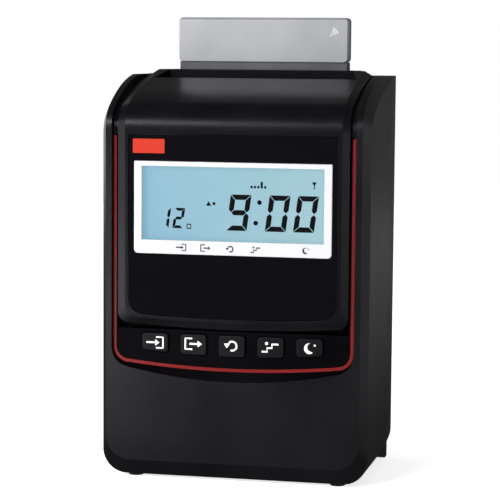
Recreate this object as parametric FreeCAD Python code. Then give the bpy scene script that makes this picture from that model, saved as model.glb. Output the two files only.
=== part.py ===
import FreeCAD, Part
import math
import os

os.makedirs("parts", exist_ok=True)

# Desk-top time recorder. X to the right, Y to the back, Z up, millimetres.
# The origin is on the desk, under the middle of the case.

# ---- case
case_w = 166.0          # across the flanks
case_d = 116.0          # front rim to back face
foot_h = 2.0            # the case stands this far off the desk
wall = 2.5              # case and rear cover
seam_y = 27.3           # joint between the case and the rear cover
rim_w = 3.8             # flat front rim beside the cover
bevel_x = 4.0           # front bevel, across the flanks
bevel_y = 8.6           # front bevel, front to back
bevel_z = 10.3          # front bevel, along the bottom
corner_r = 15.0         # lower corners of the case
draft = 1.3             # the rear cover narrows by this on each side
back_bevel = 3.6        # bevel round the back face
cheek_t = 2.0           # inner wall of each cheek
raised_half = (65.0, 60.5)  # half width of the raised top, at the card slot and at its end
raised_top = 251.2
raised_end = 42.2           # the level top ends here
raised_side = 2.0           # run of its side slopes for each millimetre of height
raised_rear = 1.0           # and of the slope at its end
boss_r = 4.0            # screw bosses
boss_l = 16.0
cover_screw_x = 69.0
cover_screw_z = (24.0, 224.0)
base_screw_x = 54.0
base_screw_y = (-30.0, 20.0)
foot_x = 63.7
foot_front_y = -42.0
foot_r = 4.6
rear_foot = (74.0, 79.5, 46.0, 53.0)    # X and Y reach of a rear foot

# ---- crowns: vertical front, a corner arc that turns by an angle, then a long arc
cheek_crown = {"start_z": 216.0, "corner_r": 15.5, "turn": 58.0, "crown_r": 130.0}
cheek_flat_y = 3.2      # the cheek is level behind this
flank_crown = {"start_z": 212.6, "corner_r": 13.8, "turn": 66.0, "crown_r": 270.0}
tongue_crown = {"start_z": 215.4, "corner_r": 18.0, "turn": 67.2, "crown_r": 150.0, "rise": 14.5}
edge_crown = {"start_z": 215.0, "corner_r": 17.0, "turn": 68.5, "crown_r": 285.0, "rise": 9.8}

# ---- front cover
cover_t = 2.0
cover_gap = 0.4         # between the cover and what stands still beside it
tongue_half = 71.4      # half width over the side walls
tongue_flat = 66.8      # half width of the flat front, inside the bevel
tongue_bevel = 1.0      # depth of that bevel
tongue_low = 94.8       # lower edge, in the middle
tongue_skirt = 7.0      # depth of the side walls
tongue_r = 841.0        # curve of the lower edge
tongue_corner = 6.5
tongue_split = 200.0    # the flat lower part and the crowned upper part meet here
shoulder_drop = 2.5     # the shoulders lie this far under the bevel's outer edge
shoulder_deep = 7.4     # underside of the shoulders, under the tongue's crown
shoulder_ridge = 0.8    # raised outer edge of a shoulder
panel_half = 64.7
panel_low = 101.4
panel_top = 212.7
panel_r = 945.0
panel_corner = 10.0
panel_t = 1.2
panel_sink = 0.4        # the panel lies this far behind the front rim
frame_half = 61.1
frame_low = 140.2
frame_top = 196.4
window_half = 56.3
window_low = 148.6
window_top = 193.4
window_t = 1.0
frame_deep = 2.85       # front to back
badge_x = -61.9
badge_w = 19.9
badge_low = 201.1
badge_h = 8.7
badge_t = 0.35
lcd_half = 57.6
lcd_low = 146.4
lcd_top = 195.2
lcd_back = 4.8          # glass behind the front rim
lcd_t = 2.0
magnet_x = 62.8
magnet_w = 4.0
magnet_z = 216.0
magnet_h = 8.0
magnet_back = 11.2      # front of a magnet behind the front rim
magnet_d = 4.0

# ---- hinge of the front cover
hinge_back = 4.5        # axis behind the front rim
hinge_z = 99.5
hinge_pin_r = 1.0
hinge_ring_r = 2.1
lug_in = 62.5
lug_w = 3.3
ear_w = 2.6
running = 0.05          # radial clearance of every shaft, rod and pin
seat = 0.03             # radial clearance of parts fixed to a shaft

# ---- channel round the cover
channel_low = 63.0      # lower edge of the opening in the case front
channel_r = 300.0
channel_corner = 12.0
floor_drop = 3.5        # channel floor behind the front rim
floor_t = 2.0
line_w = 2.0            # red line
line_edge = 0.4         # from the side of the opening to the line
line_low = 68.9
line_r = 590.0
line_corner = 10.0
line_proud = 0.6
shelf_z = 93.6          # the channel floor ends here, under the cover's lower edge

# ---- buttons
button_count = 5
button_pitch = 24.0
button_w = 16.2
button_top = 91.2
button_low = 78.1       # middle button; the row follows the red line's curve
button_r = 2.0
button_proud = 1.5
button_travel = 1.2
button_gap = 0.4
flange_over = 0.9
flange_t = 1.2

# ---- card slot
trough_front = 1.0
trough_back = 21.2
trough_half_front = 64.7
trough_half_back = 59.8
lip_deep = 7.0
card_y = 15.0           # middle plane of the card
card_room = 5.0         # the chute is this deep
chute_half = 43.5
guide_t = 1.5
guide_low = 104.0
guide_top = 226.0
funnel_top = 239.0
panel_end_y = 46.0      # the top panel ends here

# ---- chassis
plate_in = 60.5
plate_t = 1.5
base_z = 10.0
chassis_y = (-38.0, 30.0)   # reach of the base plate and of the side plates
chassis_top = 234.0
sensor_h = 8.0
sensor_gap = 3.6        # between the card sensor and the feed motor over it
carrier_low = 138.0
carrier_top = 200.0
screw_r = 1.5

# ---- boards and supply on the base plate
board_y = -29.0         # main board, front face
board_t = 1.6
board_half = 50.0
board_h = 62.0
chips = [(-12, 12, 26, 50, 2.6), (-42, -30, 30, 38, 2.2), (24, 34, 18, 34, 2.2)]
can_r = 4.5
can_l = 11.0
can_x = (-40, -28, -16)
can_z = 12.0
plug_w = 14.0
plug_d = 6.0
plug_x = (-46, -20, 6, 30)
plug_z = (53.0, 59.0)
cell_r = 7.0
cell_l = 42.0
cell_x = -46.0
cell_y = -18.0
cell_pitch = 14.4
core = (46.0, 22.0, 38.0)       # transformer core, X Y Z
core_at = (27.0, 1.0)
coil = (26.0, 36.0, 24.0)
receiver_board_half = 48.0
receiver_board_h = 9.8
ferrite = (4.0, 58.0)           # rod antenna, radius and length
ferrite_coil = (5.2, 26.0)
ferrite_x = -38.0

# ---- printer
rod_r = 3.0
rod_z = 200.0
rod_y = (-22.0, -4.0)
carriage_half = 20.0
carriage_h = 12.0
head_half = 13.0
head_gap = 0.8          # from the head to the front card guide
print_window = 42.0     # half width of the window in the card guides
print_window_h = 7.0
roller_w = 16.0
pinch_w = 14.0
print_z = 214.5
pulley_r = 5.0
pulley_x = 48.0
pulley_y = -34.0
belt_gap = 0.3
belt_t = 1.0
deck_z = 189.0
cassette_low = 206.5
cassette_top = 222.0
cassette_arm_in = 44.0
cassette_arm_w = 8.0
knob_r = 6.0
knob_x = 38.0
motor_shaft_r = 1.5

# ---- card feed
feed_z = 180.0
feed_r = 8.0
feed_shaft_r = 2.5
pinch_shaft_r = 2.0
pinch_gap = 0.2         # from the pinch shaft to the front card guide
nip = 0.4               # free gap between the two rollers
roller_x = 22.0
gear_module = 0.8
gear_teeth = 40
pinion_teeth = 16
gear_x = 64.0
gear_w = 4.0
motor_r = 14.0
motor_l = 13.9
bush_t = 2.0
gear_backlash = 0.12

# ---- time receiver
unit_half = 54.7
unit_y = 25.0
unit_d = 15.0
unit_low = 256.3
unit_top = 284.4
unit_wall = 1.8
unit_bevel = 1.6
unit_corner = 2.4
neck_in = 0.3
neck_back = 1.5

# ---- wall mount and inlet
keyhole_pitch = 100.0
keyhole_z = 190.0
keyhole_r = 4.5
keyslot_r = 2.3
keyslot_up = 9.0
inlet_x = 48.0
inlet_z = 30.0
inlet_size = (22.0, 14.0)
inlet_deep = 16.0
vent_count = 14
vent_pitch = 6.0
vent_w = 2.4
vent_low = 96.0
vent_h = 34.0

# ---- worked out from the sizes above
V = FreeCAD.Vector
front = -case_d / 2
back = case_d / 2
rim_half = case_w / 2 - bevel_x
opening_half = rim_half - rim_w
line_half = opening_half - line_edge
floor_y = front + floor_drop
hinge_y = front + hinge_back
line_y = floor_y - line_proud
guide_front = card_y - card_room / 2 - guide_t
head_tip = guide_front - head_gap
pinch_r = card_y - nip / 2 - (guide_front - pinch_gap - pinch_shaft_r)
feed_y = card_y + nip / 2 + feed_r
pinch_y = card_y - nip / 2 - pinch_r
gear_r = gear_module * gear_teeth / 2
pinion_r = gear_module * pinion_teeth / 2
pinion_z = feed_z - gear_r - pinion_r
sensor_top = pinion_z - motor_r - sensor_gap
belt_r = pulley_r + belt_gap
plate_out = plate_in + plate_t
carrier_y = front + 11.8            # back face of the display carrier
key_board_y = front + 12.0
lcd_y = front + lcd_back
magnet_y = front + magnet_back
bezel_back = front + 10.4
ear_in = lug_in + lug_w + cover_gap
ribbon_y = head_tip + 0.4
knob_y = front + 21.0
tiny = 0.2                          # plain assembly gap between still parts


def box(x0, x1, y0, y1, z0, z1):
    return Part.makeBox(x1 - x0, y1 - y0, z1 - z0, V(x0, y0, z0))


def rod(axis, a, b, r, lo, hi):
    """Cylinder along axis; a and b are its place on the two other axes."""
    place, way = {"x": (V(lo, a, b), V(1, 0, 0)), "y": (V(a, lo, b), V(0, 1, 0)),
                  "z": (V(a, b, lo), V(0, 0, 1))}[axis]
    return Part.makeCylinder(r, hi - lo, place, way)


def mirrored(shape):
    return shape.mirror(V(0, 0, 0), V(1, 0, 0))


def both(shape):
    return [shape, mirrored(shape)]


def joined(shapes):
    first = shapes[0]
    return first.fuse(shapes[1:]).removeSplitter()


def line(a, b):
    return Part.makeLine(a, b)


def arc(a, m, b):
    return Part.Arc(a, m, b).toShape()


def prism_x(points, x0, x1):
    """Polygon of (y, z) points drawn out from x0 to x1."""
    loop = [V(x0, y, z) for y, z in points]
    face = Part.Face(Part.makePolygon(loop + loop[:1]))
    return face.extrude(V(x1 - x0, 0, 0))


def prism_z(points, z0, z1):
    """Polygon of (x, y) points drawn out from z0 to z1."""
    loop = [V(x, y, z0) for x, y in points]
    face = Part.Face(Part.makePolygon(loop + loop[:1]))
    return face.extrude(V(0, 0, z1 - z0))


def cup_wire(half, low, r, top, y):
    """Upright outline at depth y: straight sides, level bottom, round corners."""
    k = r * (1 - math.sqrt(0.5))
    a, b = V(-half, y, top), V(-half, y, low + r)
    c, d = V(r - half, y, low), V(half - r, y, low)
    e, f = V(half, y, low + r), V(half, y, top)
    return Part.Wire([line(a, b), arc(b, V(k - half, y, low + k), c), line(c, d),
                      arc(d, V(half - k, y, low + k), e), line(e, f), line(f, a)])


def bowl_wire(half, low, bottom_r, corner, top, y):
    """As cup_wire, with a bottom that is an arc, lowest in the middle."""
    centre = low + bottom_r
    reach = bottom_r - corner
    cx = half - corner
    cz = centre - math.sqrt(reach ** 2 - cx ** 2)
    tx, tz = cx * bottom_r / reach, centre + (cz - centre) * bottom_r / reach
    turn = math.atan2(tz - cz, tx - cx) / 2
    mx, mz = cx + corner * math.cos(turn), cz + corner * math.sin(turn)
    return Part.Wire([line(V(-half, y, top), V(-half, y, cz)),
                      arc(V(-half, y, cz), V(-mx, y, mz), V(-tx, y, tz)),
                      arc(V(-tx, y, tz), V(0, y, low), V(tx, y, tz)),
                      arc(V(tx, y, tz), V(mx, y, mz), V(half, y, cz)),
                      line(V(half, y, cz), V(half, y, top)),
                      line(V(half, y, top), V(-half, y, top))])


def drawn(wire, depth):
    return Part.Face(wire).extrude(V(0, depth, 0))


def between(a, b):
    return Part.makeLoft([a, b], True, True)


def rounded(points, r, y, depth):
    """Prism along Y of an (x, z) polygon whose corners are rounded."""
    edges, ends = [], []
    for i, p in enumerate(points):
        before, after = points[i - 1], points[(i + 1) % len(points)]
        u = V(before[0] - p[0], 0, before[1] - p[1]).normalize()
        w = V(after[0] - p[0], 0, after[1] - p[1]).normalize()
        half = u.getAngle(w) / 2
        at = V(p[0], y, p[1])
        bisector = (u + w).normalize()
        mid = at + bisector * (r / math.sin(half) - r)
        a, b = at + u * (r / math.tan(half)), at + w * (r / math.tan(half))
        edges.append(arc(a, mid, b))
        ends.append((a, b))
    for i, (_, b) in enumerate(ends):
        edges.append(line(b, ends[(i + 1) % len(ends)][0]))
    return drawn(Part.Wire(Part.__sortEdges__(edges)), depth)


class Crown:
    """Side outline: up the front, round a corner arc, along a long arc, then straight on.

    The straight run starts where the long arc has levelled out to the angle rise; without
    rise the long arc goes on to the end.
    """

    def __init__(self, face_y, start_z, corner_r, turn, crown_r, rise=None):
        self.face_y, self.start_z = face_y, start_z
        self.corner_r, self.crown_r = corner_r, crown_r
        self.turn = math.radians(turn)
        self.rise = None if rise is None else math.radians(rise)
        self.cy, self.cz = face_y + corner_r, start_z
        self.by = self.cy + (crown_r - corner_r) * math.cos(self.turn)
        self.bz = self.cz - (crown_r - corner_r) * math.sin(self.turn)

    def join(self, inset=0.0, part=1.0):
        """Point on the corner arc; part 1 is where the long arc starts."""
        r, t = self.corner_r - inset, self.turn * part
        return self.cy - r * math.cos(t), self.cz + r * math.sin(t)

    def straight_y(self, inset=0.0):
        if self.rise is None:
            return case_d
        return self.by - (self.crown_r - inset) * math.sin(self.rise)

    def height(self, y, inset=0.0):
        arc_y = min(y, self.straight_y(inset))
        z = self.bz + math.sqrt((self.crown_r - inset) ** 2 - (arc_y - self.by) ** 2)
        return z if arc_y == y else z + (y - arc_y) * math.tan(self.rise)

    def edges(self, x, y_end, inset=0.0, y_from=None):
        """Edges at x, front to back, moved inwards by inset; y_from skips the corner."""
        def at(p):
            return V(x, p[0], p[1])

        def on(y):
            return V(x, y, self.height(y, inset))
        run = []
        y0 = y_from
        if y_from is None:
            y0 = self.join(inset)[0]
            run.append(arc(at((self.face_y + inset, self.start_z)),
                           at(self.join(inset, 0.5)), at(self.join(inset))))
        y1 = min(y_end, self.straight_y(inset))
        run.append(arc(on(y0), on((y0 + y1) / 2), on(y1)))
        if y1 < y_end:
            run.append(line(on(y1), on(y_end)))
        return run


cheek = Crown(front, **cheek_crown)
flank = Crown(front + bevel_y, **flank_crown)
tongue = Crown(front, **tongue_crown)
edge = Crown(front + tongue_bevel, **edge_crown)    # outer edge of the tongue's bevel
cheek_top = cheek.height(cheek_flat_y)
far = 62.0              # past the back face
sky = 300.0             # above the whole object
ahead = front - 12.0    # in front of it


def closed(edges, corners):
    """Wire of edges that run on through the corner points and back to the start."""
    start = edges[0].Vertexes[0].Point
    at = edges[-1].Vertexes[-1].Point
    for p in corners:
        edges.append(line(at, p))
        at = p
    edges.append(line(at, start))
    return Part.Wire(edges)


def sky_wire(x, inset, crown, level_from=None):
    """Outline at x of the empty space above and in front of a crown."""
    if level_from is None:
        run = crown.edges(x, cheek_flat_y, inset)
        run += crown.edges(x, far, inset, y_from=cheek_flat_y)
        end_z = crown.height(far, inset)
    else:
        run = crown.edges(x, level_from, inset)
        end_z = crown.height(level_from, inset)
        run.append(line(V(x, level_from, end_z), V(x, far, end_z)))
    z = crown.start_z
    return closed(run, [V(x, far, sky), V(x, ahead, sky), V(x, ahead, z)])


def sky_tools(inset):
    """What is cut off above the cheeks; inset moves it inwards for the hollow."""
    inner = rim_half - inset
    outer = case_w / 2 - inset
    level = Part.Face(sky_wire(-inner, inset, cheek, cheek_flat_y)).extrude(V(2 * inner, 0, 0))
    slope = between(sky_wire(inner, inset, cheek, cheek_flat_y), sky_wire(outer, inset, flank))
    past = Part.Face(sky_wire(outer, inset, flank)).extrude(V(4, 0, 0))
    return [level] + both(slope) + both(past)


def case_block(inset, y_end):
    """Case without its crown, from the front rim to y_end."""
    lo, r = foot_h + inset, corner_r - inset
    half = case_w / 2 - inset
    y0, y1 = front + inset, front + bevel_y + (inset * 0.5)
    nose = between(cup_wire(rim_half - inset, lo + bevel_z, r, sky - 1, y0),
                   cup_wire(half, lo, r, sky - 1, y1))
    return nose.fuse(drawn(cup_wire(half, lo, r, sky - 1, y1), y_end - y1))


def back_block(inset):
    """Rear cover without its crown."""
    lo, r = foot_h + inset, corner_r - inset
    half = case_w / 2 - inset
    y1, y2 = back - back_bevel, back - inset
    main = cup_wire(half, lo, r, sky - 1, seam_y)
    late = cup_wire(half - draft, lo + draft, r, sky - 1, y1)
    parts = [between(main, late)]
    if inset == 0:
        end = cup_wire(half - draft - back_bevel, lo + draft + back_bevel, r - back_bevel / 2,
                       sky - 1, y2)
        parts.append(between(late, end))
    else:
        parts.append(drawn(late, y2 - y1))
    return parts[0].fuse(parts[1:])


def raised_block(low, inset):
    """Raised middle of the top, behind the card slot; inset makes its hollow."""
    y0, top = trough_back + inset, raised_top - inset
    wires = []
    for z in (low, top):
        a, b = (half + (top - z) * raised_side for half in raised_half)
        y1 = raised_end + (top - z) * raised_rear - inset
        loop = [V(-a, y0, z), V(a, y0, z), V(b, y1, z), V(-b, y1, z)]
        wires.append(Part.makePolygon(loop + loop[:1]))
    return between(*wires)


def make_case_shell():
    shell = case_block(0, seam_y).cut(sky_tools(0))
    hollow = case_block(wall, seam_y + 1).cut(sky_tools(wall))
    outline = shell
    shell = shell.cut(hollow)
    inner_wall = box(opening_half, opening_half + cheek_t, front, seam_y, 205, sky)
    lip = box(opening_half, opening_half + cheek_t, front, front + 10, channel_low + 6, 206)
    shell = shell.fuse([w.common(outline) for part in (inner_wall, lip) for w in both(part)])
    shell = shell.cut(drawn(bowl_wire(opening_half, channel_low, channel_r, channel_corner,
                                      sky - 1, front - 1), 11))
    shell = shell.cut(box(-opening_half, opening_half, front - 1, seam_y + 1, 206, sky))
    for x, z in screw_places():
        side = math.copysign(1, x)
        post = rod("y", x, z, boss_r, seam_y - boss_l, seam_y)
        x_wall = side * (case_w / 2 - wall / 2)
        web = box(min(x, x_wall), max(x, x_wall), seam_y - boss_l, seam_y, z - 1, z + 1)
        shell = shell.fuse([post, web])
        shell = shell.cut(rod("y", x, z, screw_r - 0.2, seam_y - boss_l + 2, seam_y + 1))
    for x, y in base_screw_places():
        post = rod("z", x, y, boss_r, foot_h + wall / 2, base_z)
        shell = shell.fuse(post).cut(rod("z", x, y, screw_r - 0.2, foot_h + wall, base_z + 1))
    return shell.removeSplitter()


def screw_places():
    return [(sx * cover_screw_x, z) for sx in (-1, 1) for z in cover_screw_z]


def base_screw_places():
    return [(sx * base_screw_x, y) for sx in (-1, 1) for y in base_screw_y]


def make_rear_cover():
    outer = back_block(0).cut(sky_tools(0))
    hollow = back_block(wall).cut(sky_tools(wall))
    notch = box(-opening_half, opening_half, seam_y - 1, panel_end_y + tiny, funnel_top - 1, sky)
    shell = outer.cut([hollow, notch])
    for x, z in screw_places():
        well = rod("y", x, z, boss_r + 1, seam_y, back - 1)
        shell = shell.fuse(well)
        shell = shell.cut([rod("y", x, z, screw_r + 0.2, seam_y - 1, back + 1),
                           rod("y", x, z, screw_r + 2.0, seam_y + 4, back + 1)])
    for side in (-1, 1):
        x = side * keyhole_pitch / 2
        shell = shell.cut([rod("y", x, keyhole_z, keyhole_r, back - 9, back + 1),
                           rod("y", x, keyhole_z + keyslot_up, keyslot_r, back - 9, back + 1),
                           box(x - keyslot_r, x + keyslot_r, back - 9, back + 1, keyhole_z,
                               keyhole_z + keyslot_up)])
    for i in range(vent_count):
        x = (i - (vent_count - 1) / 2) * vent_pitch
        shell = shell.cut(box(x - vent_w / 2, x + vent_w / 2, back - 9, back + 1, vent_low,
                              vent_low + vent_h))
    w, h = inlet_size
    hole = box(inlet_x - w / 2 - tiny, inlet_x + w / 2 + tiny, back - 9, back + 1,
               inlet_z - h / 2 - tiny, inlet_z + h / 2 + tiny)
    return shell.cut(hole).removeSplitter()


def make_top_panel():
    y0, y1 = trough_back, panel_end_y
    level = cheek_top - tiny
    reach = opening_half - tiny
    deck = box(-reach, reach, y0, y1, level - cover_t, level)
    face = box(-reach, reach, y0, y0 + cover_t, funnel_top - 2, level)
    panel = joined([deck, face, raised_block(level - 0.1, 0)])
    return panel.cut([raised_block(level - cover_t - 1, cover_t),
                      neck_box(tiny, funnel_top, unit_low)])


def neck_box(grow, z0, z1):
    half = unit_half - neck_in + grow
    return box(-half, half, unit_y + neck_back - grow, unit_y + unit_d - neck_back + grow, z0, z1)


def band_wire(x, y1, crown, inset, deep, z0):
    """Side outline at x of the whole cover: up the front and over the crown to y1.

    The outer side follows the given crown moved in by inset, the inner side lies deep
    under the tongue's crown.
    """
    outer = crown.edges(x, y1, inset)
    inner = tongue.edges(x, y1, deep)
    y_out, y_in = crown.face_y + inset, front + deep
    a, b = V(x, y_out, z0), V(x, y_in, z0)
    outer_start, outer_end = V(x, y_out, crown.start_z), outer[-1].Vertexes[-1].Point
    inner_start, inner_end = V(x, y_in, tongue.start_z), inner[-1].Vertexes[-1].Point
    run = [line(a, outer_start)] + outer + [line(outer_end, inner_end)]
    run += inner[::-1] + [line(inner_start, b), line(b, a)]
    return Part.Wire(run)


def band(x0, x1, y1, inset, deep, z0, crown=None):
    wire = band_wire(x0, y1, crown or tongue, inset, deep, z0)
    return Part.Face(wire).extrude(V(x1 - x0, 0, 0))


def make_cover_shell():
    end = trough_back - 0.3
    deep = tongue_skirt + 1
    outline = (tongue_half, tongue_low, tongue_r, tongue_corner, tongue_split)
    inner_outline = (tongue_flat, tongue_low + 4.2, tongue_r + 50, 9.0, tongue_split)
    bevel_y0 = front + tongue_bevel
    low = between(bowl_wire(*inner_outline, front), bowl_wire(*outline, bevel_y0))
    low = low.fuse(drawn(bowl_wire(*outline, bevel_y0), deep - tongue_bevel))
    hollow = drawn(bowl_wire(tongue_half - cover_t, tongue_low + cover_t, tongue_r,
                             tongue_corner - cover_t, tongue_split + 1, front + cover_t), deep)
    low = low.cut(hollow)
    # the lower wall is short and its front edge is cut back, to turn about the hinge
    low = low.cut(box(-case_w, case_w, front + 6, front + 20, 0, tongue_low + 2.7))
    nose = prism_x([(front - 1, tongue_low - 1), (front + 1.5, tongue_low - 1),
                    (front - 1, tongue_low + 2.5)], -case_w, case_w)
    low = low.cut(nose)
    middle = band(-tongue_flat, tongue_flat, end, 0, deep, tongue_split)
    side = between(band_wire(tongue_flat, end, tongue, 0, deep, tongue_split),
                   band_wire(tongue_half, end, edge, 0, deep, tongue_split))
    high = middle.fuse(both(side))
    inner_half = tongue_half - cover_t
    high = high.cut(band(-inner_half, inner_half, end - 1.5, cover_t, deep + 1,
                         tongue_split - 1))
    high = high.cut(prism_z(trough_plan(0, end + 1), funnel_top - 9, sky))
    reach = opening_half - cover_gap
    shoulder = band(tongue_half - 0.5, reach, end, shoulder_drop, shoulder_deep, panel_top - 0.4,
                    edge)
    ridge = band(reach - 1.3, reach, end, shoulder_drop - shoulder_ridge, shoulder_deep,
                 panel_top - 0.4, edge)
    end_wall = prism_z([(trough_half_front, trough_front), (trough_half_front + 1.5, trough_front),
                        (trough_half_at(end) + 1.5, end), (trough_half_at(end), end)],
                       funnel_top - 9, sky)
    end_wall = end_wall.common(band(0, case_w, end, 0.5, 9, tongue_split))
    lip = box(-trough_half_front - 1, trough_half_front + 1, trough_front - 1.5, trough_front,
              funnel_top - 9, sky)
    lip = lip.common(band(-case_w, case_w, end, 0.8, lip_deep, tongue_split))
    backing = box(-62.5, 62.5, front + 1.9, front + 3.0, panel_low + 6, panel_top - 5)
    lug_z0, lug_z1 = hinge_z - hinge_ring_r, hinge_z + hinge_ring_r
    lug = rod("x", hinge_y, hinge_z, hinge_ring_r, lug_in, lug_in + lug_w)
    lug = lug.fuse(box(lug_in, lug_in + lug_w, front + 1.9, hinge_y, lug_z0, lug_z1))
    pocket = box(magnet_x - 0.6, magnet_x + magnet_w + 0.6, front + 3, magnet_y, magnet_z - 0.6,
                 magnet_z + magnet_h + 0.6).common(
        band(0, case_w, end, 1.0, 20 - 3, tongue_split))
    parts = [low, high] + both(shoulder) + both(ridge) + both(end_wall) + [lip, backing]
    shell = joined(parts + both(lug) + both(pocket))
    y = front + panel_sink
    recess = drawn(bowl_wire(panel_half + 0.15, panel_low - 0.15, panel_r, panel_corner,
                             panel_top + 0.15, y - 1), 1 + panel_t)
    shell = shell.cut([recess, frame_box(0.15, front - 1, front + 9)])
    bore = rod("x", hinge_y, hinge_z, hinge_pin_r + seat, lug_in - 1, lug_in + lug_w + 1)
    # room for the bezel's ear, behind the front wall and clear of it at every angle
    ear_room = box(ear_in - cover_gap, ear_in + ear_w + cover_gap, front + cover_t, far, 0,
                   hinge_z + hinge_ring_r + cover_gap)
    return shell.cut(both(bore) + both(ear_room))


def trough_half_at(y):
    k = (y - trough_front) / (trough_back - trough_front)
    return trough_half_front + k * (trough_half_back - trough_half_front)


def trough_plan(grow, y_end):
    a, b = trough_half_front + grow, trough_half_at(y_end) + grow
    return [(-a, trough_front), (a, trough_front), (b, y_end), (-b, y_end)]


def frame_box(grow, y0, y1):
    half = frame_half + grow
    return box(-half, half, y0, y1, frame_low - grow, frame_top + grow)


def make_display_panel():
    y = front + panel_sink
    panel = drawn(bowl_wire(panel_half, panel_low, panel_r, panel_corner, panel_top, y), panel_t)
    return panel.cut(frame_box(0.1, y - 1, y + 9))


def make_display_frame():
    y = front + panel_sink - 0.25
    r = 2.6
    a, b = -frame_half, frame_half
    ring = rounded([(a, frame_low), (b, frame_low), (b, frame_top), (a, frame_top)], r, y,
                   frame_deep)
    square = box(a, b, y, y + frame_deep, frame_top - 6, frame_top)
    hole = box(-window_half, window_half, y - 1, y + 9, window_low, window_top)
    return ring.fuse(square).removeSplitter().cut(hole)


def make_display_window():
    y = front + panel_sink - 0.25 + frame_deep
    half = window_half + 1.7
    return box(-half, half, y, y + window_t, window_low - 1.6,
               window_top + 1.6)


def make_badge():
    y = front + panel_sink
    corners = [(badge_x, badge_low), (badge_x + badge_w, badge_low),
               (badge_x + badge_w, badge_low + badge_h), (badge_x, badge_low + badge_h)]
    return rounded(corners, 0.6, y - badge_t, badge_t)


def make_hinge_pins():
    pin = rod("x", hinge_y, hinge_z, hinge_pin_r, lug_in, ear_in + ear_w + tiny)
    return Part.makeCompound(both(pin))


def make_magnets():
    block = box(magnet_x, magnet_x + magnet_w, magnet_y, magnet_y + magnet_d, magnet_z,
                magnet_z + magnet_h)
    return Part.makeCompound(both(block))


def catch_tab():
    """Tab bent out of a side plate for the cover's magnet."""
    y = magnet_y + magnet_d + 0.3
    return box(plate_in, magnet_x + magnet_w + 0.5, y, y + plate_t, magnet_z - 1,
               magnet_z + magnet_h + 1)


def make_channel_bezel():
    out = opening_half - tiny
    block = drawn(bowl_wire(out, channel_low + tiny, channel_r - tiny, channel_corner - tiny,
                            panel_top - 0.7, front + tiny), floor_drop + floor_t - tiny)
    space = between(bowl_wire(out + 0.6, channel_low + tiny, channel_r, channel_corner - tiny,
                              sky, front + tiny),
                    bowl_wire(out + 0.4, line_low - 0.1, line_r, line_corner + 0.6, sky, floor_y))
    block = block.cut(space)
    inner = tongue_half + cover_gap + 0.1
    block = block.cut(box(-inner, inner, front - 1, front + 20, shelf_z, sky))
    arm = box(inner, inner + 1.5, floor_y + 0.5, front + 12, shelf_z - 1, panel_top - 0.7)
    shelf = box(-inner - 0.5, inner + 0.5, floor_y + 0.5, bezel_back + 1.6, shelf_z - 1.4, shelf_z)
    rear = box(-inner - 0.5, inner + 0.5, bezel_back, bezel_back + 1.6, shelf_z - 1.4,
               hinge_z + 6.5)
    stem = box(ear_in, ear_in + ear_w, hinge_y, bezel_back + 0.5, hinge_z - hinge_ring_r,
               hinge_z + hinge_ring_r)
    ring = rod("x", hinge_y, hinge_z, hinge_ring_r, ear_in, ear_in + ear_w)
    block = joined([block, shelf, rear] + both(arm) + both(stem) + both(ring))
    block = block.cut(both(rod("x", hinge_y, hinge_z, hinge_pin_r + running, ear_in - 1,
                               ear_in + ear_w + 1)))
    for x in button_places():
        block = block.cut(rounded(button_outline(x, button_gap, button_gap, button_gap),
                                  button_r + button_gap, front - 1, floor_drop + floor_t + 2))
    return block


def make_red_line():
    top = panel_top - 1.2
    outer = drawn(bowl_wire(line_half, line_low, line_r, line_corner, top, line_y), line_proud)
    inner = drawn(bowl_wire(line_half - line_w, line_low + line_w, line_r - line_w,
                            line_corner - line_w, top + 1, line_y - 1), line_proud + 2)
    return outer.cut(inner)


def button_places():
    return [(i - (button_count - 1) / 2) * button_pitch for i in range(button_count)]


def button_outline(x, side, under, over):
    """Corners of a button at x; the lower edge follows the curve of the row."""
    half = button_w / 2 + side

    def low(at):
        return button_low + at * at / (2 * line_r) - under
    top = button_top + over
    return [(x - half, low(x - half)), (x + half, low(x + half)), (x + half, top), (x - half, top)]


def make_button(x):
    y0 = floor_y - button_proud
    flange_y = floor_y + floor_t + 0.3
    cap = rounded(button_outline(x, 0, 0, 0), button_r, y0, flange_y + 0.1 - y0)
    lip = [e for e in cap.Edges if abs(e.CenterOfMass.y - y0) < 0.01]
    cap = cap.makeFillet(0.5, lip)
    flange = rounded(button_outline(x, flange_over, flange_over, 0), button_r, flange_y, flange_t)
    z = (button_low + button_top) / 2
    stem = rod("y", x, z, 3.0, flange_y + flange_t - 0.1, key_board_y - button_travel - tiny)
    return joined([cap, flange, stem])


def make_key_board():
    y = key_board_y
    half = button_pitch * (button_count - 1) / 2 + 11
    board = box(-half, half, y, y + 1.4, button_low - 6, button_top)
    z = (button_low + button_top) / 2
    pads = [rod("y", x, z, 3.5, y - 0.1, y + 0.5) for x in button_places()]
    return board.fuse(pads).removeSplitter()


def make_display_carrier():
    y1 = carrier_y
    tray = box(-plate_out, plate_out, y1 - 2, y1, carrier_low, carrier_top)
    frame_wall = box(-plate_in, plate_in, y1 - 5, y1 - 1, carrier_low + 4, carrier_top - 2)
    inside = box(-lcd_half - 0.8, lcd_half + 0.8, y1 - 6, y1 - 2, lcd_low - 0.8, lcd_top + 0.8)
    return tray.fuse(frame_wall).removeSplitter().cut(inside)


def make_lcd_panel():
    return box(-lcd_half, lcd_half, lcd_y, lcd_y + lcd_t, lcd_low, lcd_top)


def make_backlight():
    return box(-lcd_half, lcd_half, lcd_y + lcd_t, carrier_y - 2, lcd_low, lcd_top)


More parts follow.
